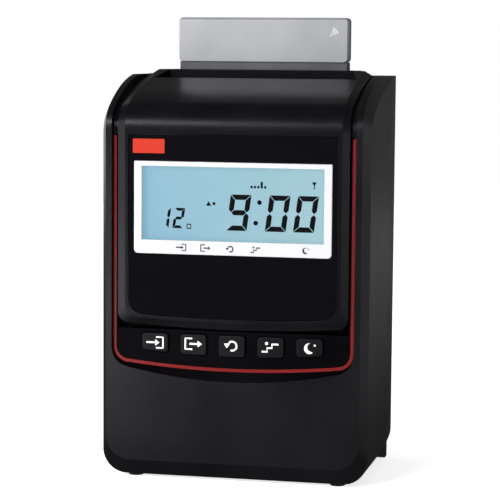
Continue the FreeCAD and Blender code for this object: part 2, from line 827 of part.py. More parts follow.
def make_slot_funnel():
    y0, y1 = trough_front + 1.5, trough_back - 0.3
    body = box(-plate_in, plate_in, y0, y1, guide_top, funnel_top)
    wide = Part.makePolygon([V(x, y, funnel_top) for x, y in
                             [(-52, y0 + 1.2), (52, y0 + 1.2), (52, y1 - 0.8), (-52, y1 - 0.8),
                              (-52, y0 + 1.2)]])
    a, b = card_y - card_room / 2, card_y + card_room / 2
    h = chute_half
    narrow = Part.makePolygon([V(x, y, guide_top) for x, y in
                               [(-h, a), (h, a), (h, b), (-h, b), (-h, a)]])
    return body.cut(between(wide, narrow))


def make_card_guide(is_front):
    """One wall of the card chute, with windows for the rollers and the print line."""
    outer = chute_half + 2.5
    if is_front:
        y0, y1 = card_y - card_room / 2 - guide_t, card_y - card_room / 2
        plate = box(-outer, outer, y0, y1, guide_low, guide_top)
    else:
        y0, y1 = card_y + card_room / 2, card_y + card_room / 2 + guide_t
        plate = box(-outer, outer, y0, y1, guide_low, guide_top)
        a = card_y - card_room / 2
        rail = box(chute_half, outer, a, y1, guide_low, guide_top)
        stop = box(-outer, outer, a, y1, guide_low, guide_low + 2)
        plate = joined([plate, stop] + both(rail))
    h = print_window_h
    windows = [box(-print_window, print_window, y0 - 0.1, y1 + 0.1, print_z - h, print_z + h)]
    half, h = roller_w / 2 + 1.5, feed_r + 1
    for x in (-roller_x, roller_x):
        windows.append(box(x - half, x + half, y0 - 0.1, y1 + 0.1, feed_z - h, feed_z + h))
    return plate.cut(windows)


def make_platen():
    y0 = card_y + card_room / 2 + 0.1
    half, h = print_window - 0.5, print_window_h - 0.4
    nose = box(-half, half, y0, y0 + 3, print_z - h, print_z + h)
    bar = box(-plate_in, plate_in, y0 + guide_t + 0.2, y0 + 7, print_z - 8, print_z + 8)
    return nose.fuse(bar).removeSplitter()


def make_card_sensor():
    a, b = card_y - card_room / 2 - guide_t - 0.3, card_y + card_room / 2 + guide_t + 0.3
    x0, x1 = chute_half - 6, chute_half + 6
    z0, z1 = sensor_top - sensor_h, sensor_top
    block = box(x0, x1, a - 5, b + 5, z0, z1)
    return block.cut(box(x0 - 1, chute_half + 2.9, a, b, z0 - 1, z1 + 1))


def side_holes():
    return [("x", feed_y, feed_z, feed_shaft_r + bush_t), ("x", pinch_y, feed_z,
                                                          pinch_shaft_r + bush_t)]


def make_side_plate(side):
    f = carrier_y
    y0, y1 = chassis_y
    step_y = magnet_y + magnet_d + tiny
    outline = [(f, carrier_low), (f, carrier_top), (step_y, carrier_top), (step_y, guide_top),
               (front + 28, chassis_top), (y1, chassis_top), (y1, base_z), (y0, base_z),
               (y0, carrier_low - 6)]
    plate = prism_x(outline, plate_in, plate_out).fuse(catch_tab()).removeSplitter()
    for axis, a, b, r in side_holes():
        plate = plate.cut(rod(axis, a, b, r + seat, plate_in - 1, plate_out + 1))
    for y in rod_y:
        plate = plate.cut(rod("x", y, rod_z, rod_r + seat, plate_in - 1, plate_out + 1))
    if side > 0:
        return plate.cut(rod("x", feed_y, pinion_z, motor_shaft_r + 0.8, plate_in - 1,
                             plate_out + 1))
    return mirrored(plate)


def make_base_plate():
    plate = box(-plate_in, plate_in, *chassis_y, base_z, base_z + plate_t)
    holes = [rod("z", x, y, screw_r + 0.2, base_z - 1, base_z + 3) for x, y in base_screw_places()]
    return plate.cut(holes)


def screw(axis, a, b, tip, head):
    """Pan-head screw from its tip to the underside of its head."""
    way = math.copysign(1, head - tip)
    lo, hi = sorted((tip, head))
    shank = rod(axis, a, b, screw_r - 0.25, lo, hi)
    lo, hi = sorted((head, head + way * 2.0))
    cap = rod(axis, a, b, screw_r + 1.4, lo, hi)
    slot_lo, slot_hi = sorted((head + way * 1.1, head + way * 3))
    if axis == "y":
        slot = box(a - 2.2, a + 2.2, slot_lo, slot_hi, b - 0.35, b + 0.35)
        cross = box(a - 0.35, a + 0.35, slot_lo, slot_hi, b - 2.2, b + 2.2)
    else:
        slot = box(a - 2.2, a + 2.2, b - 0.35, b + 0.35, slot_lo, slot_hi)
        cross = box(a - 0.35, a + 0.35, b - 2.2, b + 2.2, slot_lo, slot_hi)
    return shank.fuse(cap).removeSplitter().cut([slot, cross])


def make_cover_screws():
    return Part.makeCompound([screw("y", x, z, seam_y - 12, seam_y + 4)
                              for x, z in screw_places()])


def make_base_screws():
    return Part.makeCompound([screw("z", x, y, foot_h + wall + 0.5, base_z + plate_t)
                              for x, y in base_screw_places()])


def make_guide_rods():
    return Part.makeCompound([rod("x", y, rod_z, rod_r, -plate_out, plate_out) for y in rod_y])


def make_carriage():
    z0, z1 = rod_z - carriage_h / 2, rod_z + carriage_h / 2
    block = box(-carriage_half, carriage_half, rod_y[0] - 5, rod_y[1] + 5, z0, z1)
    block = block.cut([rod("x", y, rod_z, rod_r + running, -case_w, case_w) for y in rod_y])
    relief = box(-carriage_half + 4, carriage_half - 4, rod_y[0] + 6, rod_y[1] - 6, z0 - 1, z1 - 2)
    return block.cut(relief)


def make_print_head():
    z0 = rod_z + carriage_h / 2
    body = box(-head_half, head_half, -20, 4, z0, print_z + 7.5)
    nose = prism_x([(3, print_z - 5.5), (head_tip - 2, print_z - 4.5), (head_tip, print_z - 4.5),
                    (head_tip, print_z + 4.5), (head_tip - 2, print_z + 4.5), (3, print_z + 5.5)],
                   -5, 5)
    fins = [box(-head_half - 1, head_half + 1, -18.2 + 2.4 * i, -17 + 2.4 * i, z0 + 4, sky)
            for i in range(4)]
    return body.fuse(nose).removeSplitter().cut(fins)


def make_mechanism_deck():
    deck = box(-plate_in, plate_in, front + 14, -18, deck_z, deck_z + plate_t)
    deck = deck.cut(rod("z", -pulley_x, pulley_y, motor_shaft_r + 0.8, deck_z - 1, deck_z + 3))
    post = rod("z", pulley_x, pulley_y, 2.0, deck_z + 0.5, rod_z + 4)
    pillars = [rod("z", sx * 25, front + 15.4, 1.5, deck_z + 0.5, cassette_low) for sx in (-1, 1)]
    return deck.fuse([post] + pillars).removeSplitter()


def make_carriage_motor():
    can = rod("z", -pulley_x, pulley_y, 11.5, deck_z - 21, deck_z)
    flange = box(-pulley_x - 8, -pulley_x + 8, pulley_y - 8, pulley_y + 8, deck_z - 22.5,
                 deck_z - 20)
    bore = rod("z", -pulley_x, pulley_y, motor_shaft_r + running, deck_z - 16, deck_z + 1)
    return can.fuse(flange).removeSplitter().cut(bore)


def make_pulley(x, shaft_low):
    """Belt pulley with two flanges; on the motor side its shaft is part of it."""
    z0, z1 = rod_z - 5, rod_z + 3.5
    wheel = rod("z", x, pulley_y, pulley_r, z0, z1)
    flanges = [rod("z", x, pulley_y, pulley_r + 2, z, z + 1.4) for z in (z0, z1 - 1.4)]
    wheel = joined([wheel] + flanges)
    if shaft_low is None:
        return wheel.cut(rod("z", x, pulley_y, 2.0 + running, z0 - 1, z1 + 1))
    return wheel.fuse(rod("z", x, pulley_y, motor_shaft_r, shaft_low, z0 + 1)).removeSplitter()


def make_belt():
    z0, z1 = rod_z - 3, rod_z + 1.5

    def loop(r):
        mid = box(-pulley_x, pulley_x, pulley_y - r, pulley_y + r, z0, z1)
        return joined([mid] + [rod("z", sx * pulley_x, pulley_y, r, z0, z1) for sx in (-1, 1)])
    return loop(belt_r + belt_t).cut(loop(belt_r))


def make_cassette():
    arm_out = cassette_arm_in + cassette_arm_w
    body = box(-arm_out, arm_out, front + 14, front + 28, cassette_low, cassette_top)
    body = body.makeChamfer(1.2, [e for e in body.Edges if abs(e.CenterOfMass.y - front - 14) < .1])
    arm = box(cassette_arm_in, arm_out, front + 27, ribbon_y + 0.4, cassette_low + 1,
              cassette_top - 1)
    shape = joined([body] + both(arm))
    return shape.cut(rod("z", knob_x, knob_y, 2.0 + running, cassette_top - 8, cassette_top + 1))


def make_ribbon():
    return box(-cassette_arm_in, cassette_arm_in, ribbon_y, ribbon_y + 0.2, print_z - 4,
               print_z + 4)


def make_ribbon_knob():
    z = cassette_top + 0.4
    knob = rod("z", knob_x, knob_y, knob_r, z, z + 3.5)
    grips = []
    for i in range(12):
        t = math.radians(30 * i)
        grips.append(rod("z", knob_x + knob_r * math.cos(t), knob_y + knob_r * math.sin(t), 0.8,
                         z - 1, z + 5))
    knob = knob.cut(grips)
    return knob.fuse(rod("z", knob_x, knob_y, 2.0, cassette_top - 7.5, z + 1)).removeSplitter()


def make_bushes():
    bushes = []
    for (axis, y, z, r), shaft in zip(side_holes(), (feed_shaft_r, pinch_shaft_r)):
        bush = rod(axis, y, z, r, plate_in, plate_out)
        collar = rod(axis, y, z, r + 1.2, plate_in - 1.2, plate_in)
        bore = rod(axis, y, z, shaft + running, plate_in - 3, plate_out + 3)
        bushes += both(bush.fuse(collar).removeSplitter().cut(bore))
    return Part.makeCompound(bushes)


def make_feed_shaft():
    shaft = rod("x", feed_y, feed_z, feed_shaft_r, -plate_out - 2, gear_x + gear_w + 1)
    ring = rod("x", feed_y, feed_z, feed_shaft_r + 1, plate_in - 2.6, plate_in - 1.6)
    return joined([shaft] + both(ring))


def make_rollers(y, r, bore, width):
    roller = rod("x", y, feed_z, r, roller_x - width / 2, roller_x + width / 2)
    roller = roller.cut(rod("x", y, feed_z, bore + seat, 0, case_w))
    return Part.makeCompound(both(roller))


def make_pinch_shaft():
    shaft = rod("x", pinch_y, feed_z, pinch_shaft_r, -plate_out - 1.5, plate_out + 1.5)
    ring = rod("x", pinch_y, feed_z, pinch_shaft_r + 1, plate_in - 2.6, plate_in - 1.6)
    return joined([shaft] + both(ring))


def gear_face(teeth, y, z, phase, x):
    """Involute outline; phase is where a tooth points, in tooth pitches."""
    pitch_r = gear_module * teeth / 2
    base_r = pitch_r * math.cos(math.radians(20))
    tip_r, root_r = pitch_r + 0.8 * gear_module, pitch_r - 1.15 * gear_module

    def flank(r):
        t = math.acos(base_r / r)
        return math.tan(t) - t
    half = math.pi / teeth / 2 - gear_backlash / pitch_r / 2 + flank(pitch_r)
    start = max(base_r, root_r)
    radii = [start + (tip_r - start) * i / 3 for i in range(4)]
    profile = [(root_r, half - flank(start))] + [(r, half - flank(r)) for r in radii]
    points = []
    for i in range(teeth):
        middle = 2 * math.pi * (i + phase) / teeth
        for r, a in profile:
            points.append((r, middle - a))
        for r, a in reversed(profile):
            points.append((r, middle + a))
    loop = [V(x, y + r * math.cos(t), z + r * math.sin(t)) for r, t in points]
    return Part.Face(Part.makePolygon(loop + loop[:1]))


def make_feed_gear():
    gear = gear_face(gear_teeth, feed_y, feed_z, gear_down_phase(gear_teeth, -90, 0), gear_x)
    gear = gear.extrude(V(gear_w, 0, 0))
    hub = rod("x", feed_y, feed_z, feed_shaft_r + 2.5, gear_x - 1, gear_x + gear_w + 0.5)
    holes = []
    for i in range(5):
        t = math.radians(72 * i)
        holes.append(rod("x", feed_y + gear_r * 0.58 * math.cos(t),
                         feed_z + gear_r * 0.58 * math.sin(t), 2.6, gear_x - 1, case_w))
    bore = rod("x", feed_y, feed_z, feed_shaft_r + seat, gear_x - 3, case_w)
    return gear.fuse(hub).removeSplitter().cut(holes + [bore])


def gear_down_phase(teeth, angle, offset):
    """Phase that puts a tooth (offset 0) or a gap (offset 0.5) at an angle."""
    return teeth * angle / 360.0 + offset


def make_motor_pinion():
    face = gear_face(pinion_teeth, feed_y, pinion_z, gear_down_phase(pinion_teeth, 90, 0.5), gear_x)
    pinion = face.extrude(V(gear_w, 0, 0))
    shaft = rod("x", feed_y, pinion_z, motor_shaft_r, plate_in - motor_l + 3, gear_x + 0.5)
    return pinion.fuse(shaft).removeSplitter()


def make_feed_motor():
    can = rod("x", feed_y, pinion_z, motor_r, plate_in - motor_l, plate_in)
    bore = rod("x", feed_y, pinion_z, motor_shaft_r + running, plate_in - motor_l + 2.5,
               plate_in + 1)
    return can.cut(bore)


def make_main_board():
    y, z = board_y, base_z + plate_t
    board = box(-board_half, board_half, y, y + board_t, z, z + board_h)
    parts = [box(x0, x1, y - deep, y, z + z0, z + z1) for x0, x1, z0, z1, deep in chips]
    parts += [rod("y", x, z + can_z, can_r, y - can_l, y) for x in can_x]
    parts += [box(x, x + plug_w, y - plug_d, y, z + plug_z[0], z + plug_z[1]) for x in plug_x]
    return joined([board] + parts)


def make_battery():
    z = base_z + plate_t
    cells = [rod("x", cell_y + cell_pitch * i, z + cell_r + tiny, cell_r, cell_x, cell_x + cell_l)
             for i in range(2)]
    middle = cell_x + cell_l / 2
    strap = box(middle - 5, middle + 5, cell_y, cell_y + cell_pitch, z, z + 2 * cell_r + 1)
    return joined(cells + [strap])


def make_transformer():
    z = base_z + plate_t
    x, y = core_at

    def block(size, lift):
        w, d, h = size
        return box(x - w / 2, x + w / 2, y - d / 2, y + d / 2, z + lift, z + lift + h)
    return block(core, 0).fuse(block(coil, (core[2] - coil[2]) / 2)).removeSplitter()


def make_power_inlet():
    w, h = inlet_size
    y0 = back - inlet_deep
    body = box(inlet_x - w / 2, inlet_x + w / 2, y0, back - 0.6, inlet_z - h / 2, inlet_z + h / 2)
    mouth_r = 4.1
    reach = 4.4
    mouth = [rod("y", inlet_x + sx * reach, inlet_z, mouth_r, y0 + 3, back) for sx in (-1, 1)]
    mouth.append(box(inlet_x - reach, inlet_x + reach, y0 + 3, back, inlet_z - mouth_r,
                     inlet_z + mouth_r))
    pins = [rod("y", inlet_x + sx * reach, inlet_z, 1.1, y0 + 1, back - 4) for sx in (-1, 1)]
    return body.cut(mouth).fuse(pins).removeSplitter()


def make_unit_block(grow):
    """Outer form of the receiver, or its hollow when grow is negative."""
    half = unit_half + grow
    y0, y1 = unit_y - grow, unit_y + unit_d + grow
    z0, z1 = unit_low - grow, unit_top + grow
    body = rounded([(-half, z0), (half, z0), (half, z1), (-half, z1)], unit_corner, y0, y1 - y0)
    k = unit_bevel
    slope = prism_x([(y0 - 1, z1 - k - 1), (y0 + k + 1, z1 + 1), (y0 - 1, z1 + 1)], -half - 1,
                    half + 1)
    return body.cut(slope)


def make_unit_shell(is_front):
    block = make_unit_block(0).cut(make_unit_block(-unit_wall))
    split = unit_y + unit_d * 0.55
    if is_front:
        return block.common(box(-case_w, case_w, 0, split, 0, sky))
    return block.common(box(-case_w, case_w, split, case_w, 0, sky))


def make_unit_neck():
    return neck_box(0, tongue.height(trough_back) - 4, unit_low)


def make_rod_antenna():
    y, z = unit_y + unit_d / 2, unit_top - 9
    (r, length), (coil_r, coil_l) = ferrite, ferrite_coil
    x = ferrite_x + 8
    bar = rod("x", y, z, r, ferrite_x, ferrite_x + length)
    return bar.fuse(rod("x", y, z, coil_r, x, x + coil_l)).removeSplitter()


def make_unit_board():
    y, z = unit_y + unit_d / 2, unit_low + unit_wall + 0.4
    half = receiver_board_half
    return box(-half, half, y - board_t / 2, y + board_t / 2, z, z + receiver_board_h)


def make_feet():
    front_foot = rod("z", foot_x, foot_front_y, foot_r, 0, foot_h)
    block = box(*rear_foot, 0, corner_r).cut(back_block(0))
    return Part.makeCompound(both(front_foot) + both(block))


def save(name, shape):
    shape.exportStep("parts/" + name + ".step")
    sizes = shape.optimalBoundingBox(False)
    print(f"{name}: {len(shape.Solids)} solids, valid {shape.isValid()}, {shape.Volume:.0f} mm3, "
          f"x {sizes.XMin:.1f} {sizes.XMax:.1f} y {sizes.YMin:.1f} {sizes.YMax:.1f} "
          f"z {sizes.ZMin:.1f} {sizes.ZMax:.1f}")


save("case_shell", make_case_shell())
save("rear_cover", make_rear_cover())
save("top_panel", make_top_panel())
save("channel_bezel", make_channel_bezel())
save("red_line", make_red_line())
save("cover_shell", make_cover_shell())
save("display_panel", make_display_panel())
save("display_frame", make_display_frame())
save("display_window", make_display_window())
save("badge_plate", make_badge())
save("hinge_pins", make_hinge_pins())
save("cover_magnets", make_magnets())
for number, place in enumerate(button_places(), 1):
    save("button_" + str(number), make_button(place))
save("key_board", make_key_board())
save("display_carrier", make_display_carrier())
save("lcd_panel", make_lcd_panel())
save("backlight", make_backlight())
save("slot_funnel", make_slot_funnel())
save("card_guide_front", make_card_guide(True))
save("card_guide_rear", make_card_guide(False))
save("platen", make_platen())
save("card_sensor", make_card_sensor())
save("side_plate_left", make_side_plate(-1))
save("side_plate_right", make_side_plate(1))
save("base_plate", make_base_plate())
save("rear_cover_screws", make_cover_screws())
save("base_screws", make_base_screws())
save("guide_rods", make_guide_rods())
save("print_carriage", make_carriage())
save("print_head", make_print_head())
save("mechanism_deck", make_mechanism_deck())
save("carriage_motor", make_carriage_motor())
save("drive_pulley", make_pulley(-pulley_x, deck_z - 15))
save("idler_pulley", make_pulley(pulley_x, None))
save("carriage_belt", make_belt())
save("ribbon_cassette", make_cassette())
save("ribbon", make_ribbon())
save("ribbon_knob", make_ribbon_knob())
save("shaft_bushes", make_bushes())
save("feed_shaft", make_feed_shaft())
save("feed_rollers", make_rollers(feed_y, feed_r, feed_shaft_r, roller_w))
save("pinch_shaft", make_pinch_shaft())
save("pinch_rollers", make_rollers(pinch_y, pinch_r, pinch_shaft_r, pinch_w))
save("feed_gear", make_feed_gear())
save("motor_pinion", make_motor_pinion())
save("feed_motor", make_feed_motor())
save("main_board", make_main_board())
save("clock_battery", make_battery())
save("transformer", make_transformer())
save("power_inlet", make_power_inlet())
save("receiver_front", make_unit_shell(True))
save("receiver_back", make_unit_shell(False))
save("receiver_neck", make_unit_neck())
save("rod_antenna", make_rod_antenna())
save("receiver_board", make_unit_board())
save("feet", make_feet())
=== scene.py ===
import math

import bmesh
import bpy
from mathutils import Matrix, Vector


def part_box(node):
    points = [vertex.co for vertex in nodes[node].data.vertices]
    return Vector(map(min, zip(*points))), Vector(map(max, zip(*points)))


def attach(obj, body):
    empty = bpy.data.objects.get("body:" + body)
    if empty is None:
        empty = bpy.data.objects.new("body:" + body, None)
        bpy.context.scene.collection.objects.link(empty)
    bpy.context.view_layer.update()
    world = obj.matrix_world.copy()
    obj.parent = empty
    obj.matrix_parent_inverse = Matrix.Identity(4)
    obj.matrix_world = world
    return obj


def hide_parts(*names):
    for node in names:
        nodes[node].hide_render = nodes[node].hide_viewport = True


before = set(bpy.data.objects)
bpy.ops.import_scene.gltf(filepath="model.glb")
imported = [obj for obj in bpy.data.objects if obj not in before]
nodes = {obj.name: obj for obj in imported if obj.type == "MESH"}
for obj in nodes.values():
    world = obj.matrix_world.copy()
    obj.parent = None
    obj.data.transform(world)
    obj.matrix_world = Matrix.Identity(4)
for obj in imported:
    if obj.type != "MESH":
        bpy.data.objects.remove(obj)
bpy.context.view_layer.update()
print("frame loaded:", len(nodes), "pieces from the CAD model")

mm = 0.001


class Value:
    # wraps a socket, so that shader maths reads as plain expressions
    def __init__(self, tree, socket):
        self.tree, self.socket = tree, socket

    def maths(self, operation, other, swapped=False):
        first, second = (other, self) if swapped else (self, other)
        return self.tree.add("ShaderNodeMath", {"operation": operation}, {0: first, 1: second})

    def __add__(self, other):
        return self.maths("ADD", other)

    def __radd__(self, other):
        return self.maths("ADD", other, True)

    def __sub__(self, other):
        return self.maths("SUBTRACT", other)

    def __rsub__(self, other):
        return self.maths("SUBTRACT", other, True)

    def __mul__(self, other):
        return self.maths("MULTIPLY", other)

    def __rmul__(self, other):
        return self.maths("MULTIPLY", other, True)


class Finish:
    # one material with its nodes
    def __init__(self, name):
        self.material = bpy.data.materials.new(name)
        self.material.use_nodes = True
        self.nodes, self.links = self.material.node_tree.nodes, self.material.node_tree.links
        self.nodes.clear()
        self.output = self.nodes.new("ShaderNodeOutputMaterial")

    def add(self, kind, settings=None, inputs=None, out=0):
        node = self.nodes.new(kind)
        for key, value in (settings or {}).items():
            setattr(node, key, value)
        for key, value in (inputs or {}).items():
            self.plug(node.inputs[key], value)
        return Value(self, node.outputs[out])

    def plug(self, socket, value):
        if isinstance(value, Value):
            self.links.new(value.socket, socket)
        elif socket.type == "RGBA" and len(value) == 3:
            socket.default_value = (*value, 1)
        else:
            socket.default_value = value

    def place(self):
        return self.add("ShaderNodeTexCoord", out=3)

    def axis(self, index):
        return self.add("ShaderNodeSeparateXYZ", inputs={0: self.place()}, out=index)

    def noise(self, scale, detail=3.0, roughness=0.55, vector=None):
        return self.add("ShaderNodeTexNoise", inputs={"Vector": vector or self.place(), "Scale": scale,
                                                      "Detail": detail, "Roughness": roughness})

    def stretched(self, scale):
        return self.add("ShaderNodeMapping", inputs={"Vector": self.place(), "Scale": scale})

    def span(self, value, low, high, outLow=0.0, outHigh=1.0):
        return self.add("ShaderNodeMapRange", {"clamp": True},
                        {"Value": value, "From Min": low, "From Max": high, "To Min": outLow,
                         "To Max": outHigh})

    def mix(self, factor, a, b):
        return self.add("ShaderNodeMix", {"data_type": "RGBA"}, {0: factor, 6: a, 7: b}, out=2)

    def rounded(self, radius):
        return self.add("ShaderNodeBevel", {"samples": 4}, {"Radius": radius})

    def bump(self, height, strength, distance, normal=None):
        inputs = {"Strength": strength, "Distance": distance, "Height": height}
        if normal is not None:
            inputs["Normal"] = normal
        return self.add("ShaderNodeBump", inputs=inputs)

    def principled(self, **sockets):
        inputs = {key.replace("_", " "): value for key, value in sockets.items()}
        return self.add("ShaderNodeBsdfPrincipled", inputs=inputs)

    def surface(self, shader):
        self.links.new(shader.socket, self.output.inputs[0])
        return self.material

    def shade(self, **sockets):
        return self.surface(self.principled(**sockets))


# grain and clouds in noise scales, depths and radii in metres
moulding = {"clouds": 22.0, "grainSize": 1800.0, "grainDepth": 0.00006, "sheen": (0.93, 0.92, 1.0),
            "edge": 0.3 * mm, "unevenRough": (-0.03, 0.04), "grainRough": 0.10}


def mouldedPlastic(name, colour, rough, grain=0.10, grainSize=moulding["grainSize"], gloss=0.5,
                   tone=0.25, metal=0.0):
    # spark-eroded moulded plastic: fine grain in the bump, faint clouds in tone and sheen
    f = Finish(name)
    clouds, fine = f.noise(moulding["clouds"], 4.0), f.noise(grainSize, 2.0, 0.6)
    lighter = tuple(min(1.0, c * (1 + tone) + 0.0005) for c in colour)
    darker = tuple(c * (1 - tone * 0.6) for c in colour)
    base = f.mix(f.span(clouds, 0.35, 0.65), darker, lighter)
    smoother, rougher = (rough + step for step in moulding["unevenRough"])
    roughness = f.span(clouds, 0.3, 0.7, smoother, rougher) + (fine - 0.5) * moulding["grainRough"]
    normal = f.bump(fine, grain, moulding["grainDepth"], f.rounded(moulding["edge"]))
    return f.shade(Base_Color=base, Roughness=roughness, Normal=normal, Specular_IOR_Level=gloss,
                   Specular_Tint=moulding["sheen"], Metallic=metal)


polish = {"waves": 60.0, "waveDepth": 0.0006, "waveStrength": 0.012, "dust": 900.0, "dusty": 0.25,
          "dustRough": 0.10}


def glossPlastic(name, colour, rough, gloss=0.5):
    # polished plastic: nearly flat, with faint waves from the mould and a little dust
    f = Finish(name)
    waves, dust = f.noise(polish["waves"], 2.0), f.noise(polish["dust"], 4.0, 0.7)
    specks = f.span(dust, 0.62, 0.75)
    base = f.mix(specks * polish["dusty"], colour, tuple(min(1.0, c + 0.02) for c in colour))
    return f.shade(Base_Color=base, Roughness=rough + specks * polish["dustRough"],
                   Normal=f.bump(waves, polish["waveStrength"], polish["waveDepth"]),
                   Specular_IOR_Level=gloss)


brushing = {"scratches": (30.0, 30.0, 1400.0), "depth": 0.00005, "strength": 0.12, "patches": 40.0,
            "unevenRough": (-0.05, 0.07), "groove": 0.86}


def brushedMetal(name, colour, rough, scratches=brushing["scratches"]):
    # drawn or brushed metal: long fine scratches along one direction
    f = Finish(name)
    lines = f.noise(1.0, 3.0, 0.6, f.stretched(scratches))
    patches = f.noise(brushing["patches"], 3.0)
    base = f.mix(f.span(lines, 0.3, 0.7), tuple(c * brushing["groove"] for c in colour), colour)
    smoother, rougher = (rough + step for step in brushing["unevenRough"])
    return f.shade(Base_Color=base, Metallic=1.0, Roughness=f.span(patches, 0.3, 0.7, smoother, rougher),
                   Normal=f.bump(lines, brushing["strength"], brushing["depth"]))


rubber = {"grain": 1300.0, "depth": 0.0001, "strength": 0.25, "grainRough": 0.15, "dust": 120.0,
          "dusty": 0.5, "gloss": 0.3}


def softRubber(name, colour, rough=0.75):
    f = Finish(name)
    grain, dust = f.noise(rubber["grain"], 3.0, 0.65), f.noise(rubber["dust"], 4.0, 0.6)
    base = f.mix(f.span(dust, 0.45, 0.75) * rubber["dusty"], colour,
                 tuple(c * 1.8 + 0.01 for c in colour))
    return f.shade(Base_Color=base, Roughness=rough + (grain - 0.5) * rubber["grainRough"],
                   Normal=f.bump(grain, rubber["strength"], rubber["depth"]),
                   Specular_IOR_Level=rubber["gloss"])


board = {"tracks": 160.0, "trackWidth": 0.03, "mask": (0.010, 0.075, 0.035),
         "overCopper": (0.03, 0.16, 0.08), "rough": (0.28, 0.4), "depth": 0.00005, "strength": 0.3}


def circuitBoard(name):
    # solder mask over copper tracks that run in a grid
    f = Finish(name)
    tracks = f.add("ShaderNodeTexBrick", {"offset": 0.5},
                   {"Vector": f.place(), "Scale": board["tracks"], "Mortar Size": board["trackWidth"],
                    "Color1": (0, 0, 0), "Color2": (0, 0, 0), "Mortar": (1, 1, 1)}, out=1)
    mottle = f.noise(300.0, 2.0)
    return f.shade(Base_Color=f.mix(tracks, board["mask"], board["overCopper"]),
                   Roughness=f.span(mottle, 0.3, 0.7, *board["rough"]),
                   Normal=f.bump(tracks, board["strength"], board["depth"]))


# colours of the lit liquid crystal at its left, right and top
display = {"left": (0.25, 0.52, 0.71), "right": (0.42, 0.66, 0.72), "top": (0.34, 0.61, 0.72),
           "topShare": 0.35, "light": 0.80, "film": 2600.0, "filmColour": (0.25, 0.42, 0.48),
           "unlit": (0.06, 0.09, 0.10), "rough": (0.25, 0.35)}


def litDisplay(name):
    # liquid crystal in front of its lamp: brighter to the right and the top, under a fine film
    f = Finish(name)
    low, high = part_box("lcd_panel")
    across, up = f.span(f.axis(0), low.x, high.x), f.span(f.axis(2), low.z, high.z)
    side = f.mix(across, display["left"], display["right"])
    glow = f.mix(up * display["topShare"], side, display["top"])
    film = f.noise(display["film"], 2.0)
    glow = f.mix((film - 0.5) * 0.10 + 0.03, glow, display["filmColour"])
    return f.shade(Base_Color=display["unlit"], Roughness=f.span(film, 0.3, 0.7, *display["rough"]),
                   Emission_Color=glow, Emission_Strength=display["light"])


window = {"smears": 35.0, "colour": (0.010, 0.014, 0.016), "alpha": (0.03, 0.05),
          "rough": (0.03, 0.07)}


def clearWindow(name):
    # clear pane, nearly nothing but its reflections
    f = Finish(name)
    smear = f.noise(window["smears"], 3.0)
    return f.shade(Base_Color=window["colour"], Alpha=f.span(smear, 0.2, 0.8, *window["alpha"]),
                   Roughness=f.span(smear, 0.3, 0.7, *window["rough"]), Specular_IOR_Level=0.5)


